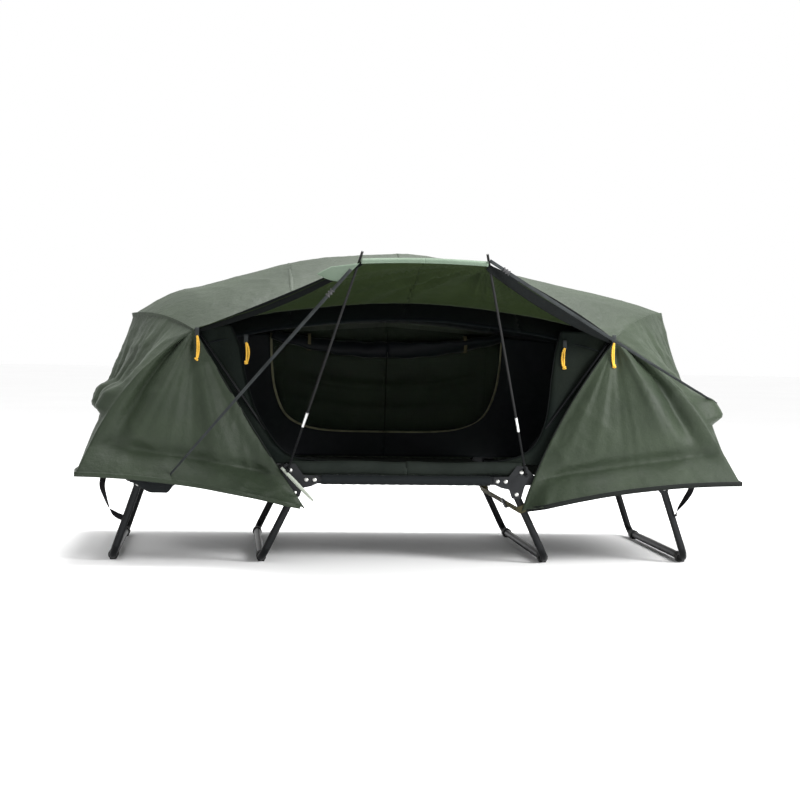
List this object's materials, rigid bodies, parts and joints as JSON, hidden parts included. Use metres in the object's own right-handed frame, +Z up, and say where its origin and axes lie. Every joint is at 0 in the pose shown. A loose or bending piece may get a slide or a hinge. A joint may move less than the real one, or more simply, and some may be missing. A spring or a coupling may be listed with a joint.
{
  "type": "tent cot",
  "caption": "Folding camp cot with steel U-legs, a built-in inner tent and a green rain fly whose door is raised as an awning on poles.",
  "frame": {"origin": "on the ground under the middle of the whole object with its awning", "axes": "+X along the bed to the right end, +Y to the rear, away from the door side, +Z up"},
  "size_m": [2.2052, 1.368, 1.072],
  "materials": {
    "black_steel": "powder coated, semi-gloss",
    "zinc_fasteners": "zinc plated",
    "black_rubber": "matt",
    "bed_fabric": "heavy coated weave",
    "pole_ferrules": "satin",
    "black_poles": "semi-gloss",
    "gold_cord": "woven cord",
    "grey_webbing": "woven webbing",
    "olive_webbing": "woven webbing",
    "black_plastic": "moulded",
    "inner_tent_fabric": "fine mesh and plain weave",
    "fly_fabric": "coated plain weave, matt"
  },
  "bodies": {
    "center": {"awning_pole_lugs": "black_steel", "center_bed_panel": "bed_fabric", "center_rail_back": "black_steel", "center_rail_front": "black_steel", "frame_bolts": "zinc_fasteners", "hinge_plate_back_left": "black_steel", "hinge_plate_back_right": "black_steel", "hinge_plate_front_left": "black_steel", "hinge_plate_front_right": "black_steel", "hoop_brackets": "black_steel", "hoop_pins": "zinc_fasteners", "left_awning": "fly_fabric", "left_fly_middle": "fly_fabric", "left_guy_strap": "grey_webbing", "left_inner_tent_middle": "inner_tent_fabric", "left_ridge_pole": "black_poles", "ridge_ferrule": "pole_ferrules", "right_awning": "fly_fabric", "right_fly_middle": "fly_fabric", "right_guy_strap": "grey_webbing", "right_inner_tent_middle": "inner_tent_fabric", "right_ridge_pole": "black_poles"},
    "left_end": {"left_bed_panel": "bed_fabric", "left_door_pull": "gold_cord", "left_end_frame": "black_steel", "left_fly_end": "fly_fabric", "left_fly_pull": "gold_cord", "left_hem_tie": "grey_webbing", "left_hinge_ears": "black_steel", "left_inner_tent_end": "inner_tent_fabric", "left_leg_bolts": "zinc_fasteners", "left_leg_brackets": "black_steel"},
    "left_outer_leg": {"left_outer_feet": "black_rubber", "left_outer_leg": "black_steel"},
    "left_inner_leg": {"left_inner_feet": "black_rubber", "left_inner_leg": "black_steel"},
    "left_hoop": {"left_hoop": "black_poles"},
    "left_awning_pole": {"left_awning_pole_ferrule": "pole_ferrules", "left_awning_pole_lower": "black_poles", "left_awning_pole_upper": "black_poles"},
    "right_end": {"right_bed_panel": "bed_fabric", "right_door_pull": "gold_cord", "right_end_frame": "black_steel", "right_fly_end": "fly_fabric", "right_fly_pull": "gold_cord", "right_hem_tie": "grey_webbing", "right_hinge_ears": "black_steel", "right_inner_tent_end": "inner_tent_fabric", "right_leg_bolts": "zinc_fasteners", "right_leg_brackets": "black_steel"},
    "right_outer_leg": {"right_outer_feet": "black_rubber", "right_outer_leg": "black_steel"},
    "right_inner_leg": {"right_inner_feet": "black_rubber", "right_inner_leg": "black_steel", "closure_buckle": "black_plastic", "closure_strap": "olive_webbing"},
    "right_hoop": {"right_hoop": "black_poles"},
    "right_awning_pole": {"right_awning_pole_ferrule": "pole_ferrules", "right_awning_pole_lower": "black_poles", "right_awning_pole_upper": "black_poles"}
  },
  "joints": [
    {"name": "left_end_fold", "type": "hinge", "parent": "center", "child": "left_end", "pos_m": [-0.394, 0.1896, 0.316], "axis": [0, 1, 0], "range_deg": [0, 180], "deforming": ["left_fly_end", "left_inner_tent_end", "left_fly_middle", "left_inner_tent_middle", "left_awning", "left_ridge_pole", "left_guy_strap", "left_hem_tie", "left_fly_pull", "left_door_pull", "ridge_ferrule"]},
    {"name": "left_hoop_fold", "type": "hinge", "parent": "center", "child": "left_hoop", "pos_m": [-0.38, 0.1896, 0.3065], "axis": [0, 1, 0], "range_deg": [0, 124.84]},
    {"name": "left_awning_pole_swing", "type": "hinge", "parent": "center", "child": "left_awning_pole", "pos_m": [-0.403, -0.2804, 0.318], "axis": [0.0881, 0.8814, 0.4642], "range_deg": [0, 73.3]},
    {"name": "left_inner_leg_fold", "type": "hinge", "parent": "center", "child": "left_inner_leg", "pos_m": [-0.378, 0.1896, 0.24], "axis": [0, -1, 0], "range_deg": [0, 115.8]},
    {"name": "left_outer_leg_fold", "type": "hinge", "parent": "left_end", "child": "left_outer_leg", "pos_m": [-0.902, 0.1896, 0.262], "axis": [0, -1, 0], "range_deg": [0, 108.7]},
    {"name": "right_end_fold", "type": "hinge", "parent": "center", "child": "right_end", "pos_m": [0.394, 0.1896, 0.316], "axis": [0, -1, 0], "range_deg": [0, 168], "deforming": ["right_fly_end", "right_inner_tent_end", "right_fly_middle", "right_inner_tent_middle", "right_awning", "right_ridge_pole", "right_guy_strap", "right_hem_tie", "right_fly_pull", "right_door_pull"]},
    {"name": "right_hoop_fold", "type": "hinge", "parent": "center", "child": "right_hoop", "pos_m": [0.38, 0.1896, 0.324], "axis": [0, -1, 0], "range_deg": [0, 126.07]},
    {"name": "right_awning_pole_swing", "type": "hinge", "parent": "center", "child": "right_awning_pole", "pos_m": [0.403, -0.2944, 0.31], "axis": [0.1069, -0.891, -0.4413], "range_deg": [0, 72.91]},
    {"name": "right_inner_leg_fold", "type": "hinge", "parent": "center", "child": "right_inner_leg", "pos_m": [0.378, 0.1896, 0.24], "axis": [0, 1, 0], "range_deg": [0, 115.8]},
    {"name": "right_outer_leg_fold", "type": "hinge", "parent": "right_end", "child": "right_outer_leg", "pos_m": [0.902, 0.1896, 0.262], "axis": [0, 1, 0], "range_deg": [0, 108.7]}
  ],
  "couplings": [
    {"joint": "left_hoop_fold", "follows": "left_end_fold", "ratio": 0.693},
    {"joint": "left_awning_pole_swing", "follows": "left_end_fold", "ratio": 0.40611},
    {"joint": "right_hoop_fold", "follows": "right_end_fold", "ratio": 0.74982},
    {"joint": "right_awning_pole_swing", "follows": "right_end_fold", "ratio": 0.43277}
  ]
}
